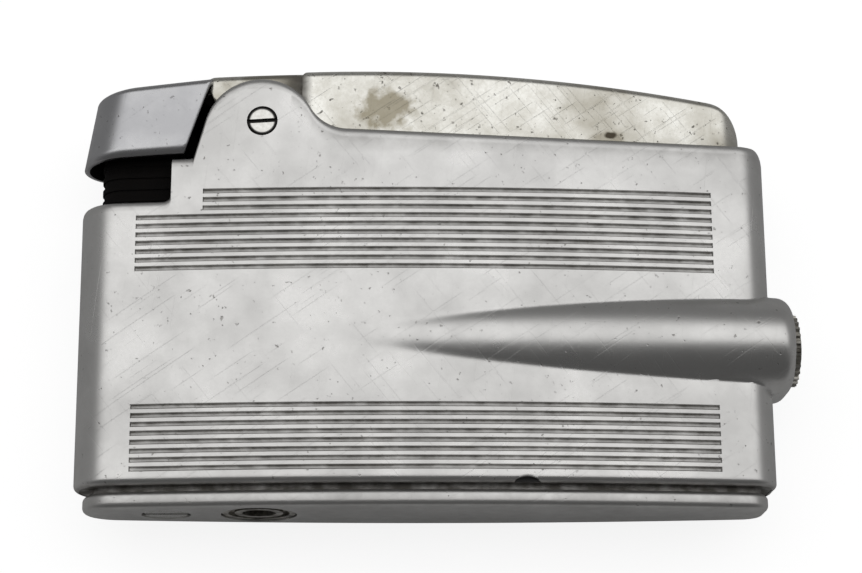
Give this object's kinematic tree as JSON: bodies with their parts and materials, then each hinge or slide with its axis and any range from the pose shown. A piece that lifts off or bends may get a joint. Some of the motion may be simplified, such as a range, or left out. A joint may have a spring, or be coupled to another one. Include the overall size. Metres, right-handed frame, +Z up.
{
  "type": "butane lighter",
  "caption": "Flat metal pocket gas lighter with a long thumb lever, hinged snuffer cap, spark wheel, side flame adjuster and base filler valve.",
  "frame": {"origin": "middle of the overall length and thickness, at the underside of the base", "axes": "+X along the case towards the adjuster knob, +Y from the front face to the back face, +Z up from the base to the thumb lever"},
  "size_m": [0.07, 0.0132, 0.0431],
  "materials": {
    "case_metal": "worn satin plating",
    "brass": "dull",
    "sooty_brass": "heat-stained and sooty",
    "works_steel": "stamped, plain",
    "bright_steel": "turned",
    "dark_steel": "hardened, file-cut",
    "spring_steel": "wire",
    "seal_rubber": "matt",
    "felt_pad": "pressed felt",
    "flint_stone": "matt"
  },
  "bodies": {
    "case": {"body_shell": "case_metal", "base_cap": "case_metal", "fuel_tank": "brass", "mechanism_frame": "works_steel", "axle_screw": "bright_steel", "axle_nut": "bright_steel", "rocker_pin": "bright_steel", "snuffer_pin": "bright_steel", "wind_guard": "sooty_brass", "flint_tube": "brass", "flint_screw": "bright_steel", "flint_spring": "spring_steel", "flint_follower": "brass", "flint": "flint_stone", "filler_body": "bright_steel", "filler_seal": "seal_rubber", "filler_spring": "spring_steel", "metering_body": "brass", "metering_pad": "felt_pad", "spindle_seal": "seal_rubber", "gas_tube": "brass", "burner_body": "brass", "burner_seal": "seal_rubber", "burner_spring": "spring_steel", "lever_spring": "spring_steel", "snuffer_spring": "spring_steel"},
    "lever": {"thumb_lever": "case_metal", "valve_fork": "works_steel"},
    "rocker": {"drive_rocker": "works_steel", "pawl_pin": "bright_steel"},
    "pawl": {"drive_pawl": "works_steel"},
    "wheel": {"spark_wheel": "dark_steel", "ratchet_wheel": "works_steel"},
    "cap": {"snuffer_cap": "case_metal", "snuffer_arms": "works_steel"},
    "jet": {"burner_stem": "brass", "burner_nozzle": "bright_steel"},
    "filler": {"filler_stem": "brass"},
    "knob": {"adjuster_knob": "case_metal", "adjuster_spindle": "bright_steel", "metering_plug": "bright_steel"}
  },
  "joints": [
    {"name": "lever_press", "type": "hinge", "parent": "case", "child": "lever", "pos_m": [-0.01742, 0, 0.03765], "axis": [0, 1, 0], "range_deg": [0, 5.5], "stiffness_Nm_per_rad": 1, "springref_deg": -4.58, "deforming": ["lever_spring"]},
    {"name": "rocker_lift", "type": "hinge", "parent": "case", "child": "rocker", "pos_m": [-0.005, 0, 0.031], "axis": [0, 1, 0], "range_deg": [0, 8.5]},
    {"name": "pawl_swing", "type": "hinge", "parent": "rocker", "child": "pawl", "pos_m": [-0.02212, 0, 0.03505], "axis": [0, 1, 0], "range_deg": [0, 7]},
    {"name": "wheel_spin", "type": "hinge", "parent": "case", "child": "wheel", "pos_m": [-0.01742, 0, 0.03765], "axis": [0, 1, 0], "range_deg": [0, 56]},
    {"name": "snuffer_open", "type": "hinge", "parent": "case", "child": "cap", "pos_m": [-0.023, 0, 0.0409], "axis": [0, 1, 0], "range_deg": [0, 60.5]},
    {"name": "burner_lift", "type": "slide", "parent": "case", "child": "jet", "axis": [0, 0, 1], "range_m": [0, 0.00131], "deforming": ["burner_spring"]},
    {"name": "filler_press", "type": "slide", "parent": "case", "child": "filler", "axis": [0, 0, 1], "range_m": [0, 0.001], "stiffness_N_per_m": 600, "springref_m": -0.002, "deforming": ["filler_spring"]},
    {"name": "knob_turn", "type": "hinge", "parent": "case", "child": "knob", "pos_m": [0.0339, 0, 0.0161], "axis": [1, 0, 0], "range_deg": [-135, 135]}
  ],
  "couplings": [
    {"joint": "rocker_lift", "follows": "lever_press", "ratio": 1.542},
    {"joint": "pawl_swing", "follows": "lever_press", "ratio": 1.203},
    {"joint": "wheel_spin", "follows": "lever_press", "ratio": 9.985},
    {"joint": "snuffer_open", "follows": "lever_press", "ratio": 10.9},
    {"joint": "burner_lift", "follows": "lever_press", "m_per_rad": 0.01354}
  ]
}
